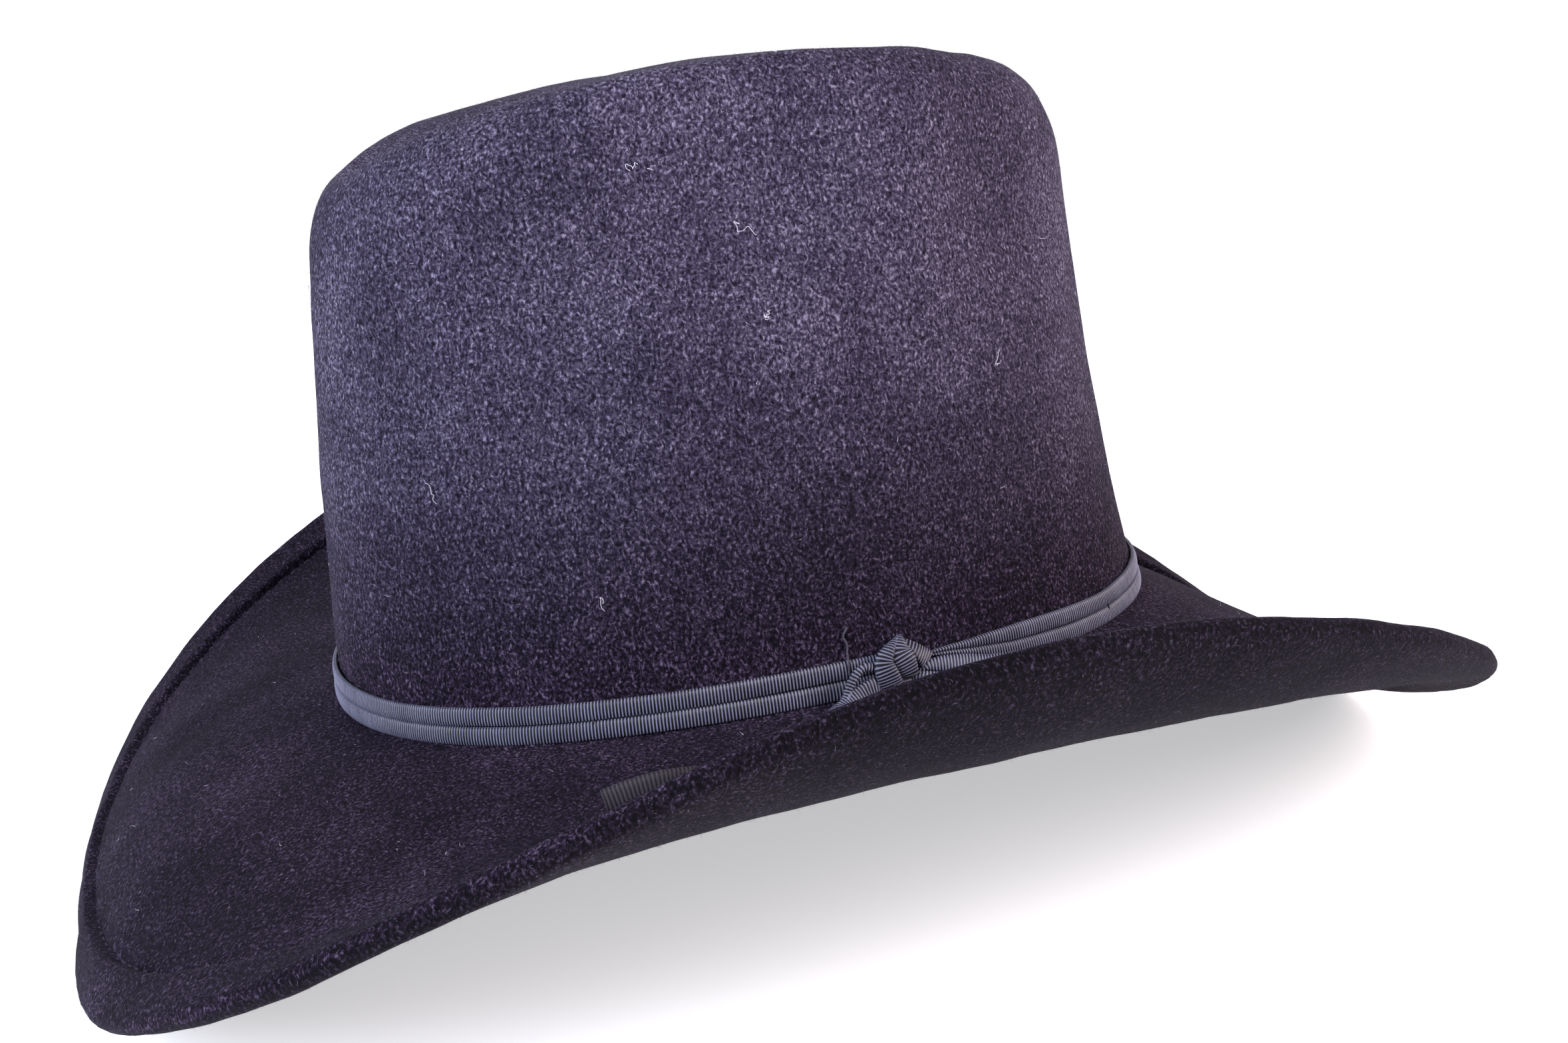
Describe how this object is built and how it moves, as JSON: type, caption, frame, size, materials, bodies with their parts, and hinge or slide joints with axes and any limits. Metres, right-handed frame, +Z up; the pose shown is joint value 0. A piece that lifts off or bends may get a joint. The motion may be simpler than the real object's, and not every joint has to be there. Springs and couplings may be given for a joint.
{
  "type": "cowboy hat",
  "caption": "Felt western hat with a creased crown, side-rolled brim with a folded edge, and a narrow tied ribbon band.",
  "frame": {"origin": "centre of the head opening, level with the line where crown meets brim", "axes": "+Z up through the crown, -Y towards the front of the hat, +X towards the wearer's left, where the knot is"},
  "size_m": [0.33, 0.339, 0.1873],
  "materials": {
    "wool_felt": "fuzzy dark blue-violet wool felt",
    "wire": "drawn steel",
    "thread": "matt sewing thread",
    "sweatband_leather": "smooth satin leather",
    "reed_plastic": "plain",
    "cotton_tape": "woven cotton",
    "grosgrain": "ribbed ribbon with a soft sheen",
    "lining_satin": "satin",
    "clear_film": "clear flexible film"
  },
  "bodies": {
    "root": {"felt_body": "wool_felt", "brim_wire": "wire", "welt_seam_thread": "thread", "sweatband": "sweatband_leather", "sweatband_reed": "reed_plastic", "reed_tape": "cotton_tape", "sweatband_stitching": "thread", "sweatband_bow": "grosgrain", "lining_side_band": "lining_satin", "lining_tip": "lining_satin", "tip_shield": "clear_film", "hatband_lower_ribbon": "grosgrain", "hatband_upper_ribbon": "grosgrain", "hatband_knot": "grosgrain", "hatband_tail_front": "grosgrain", "hatband_tail_back": "grosgrain", "hatband_short_end": "grosgrain", "hatband_tacks": "thread", "loose_thread": "thread"}
  },
  "joints": []
}
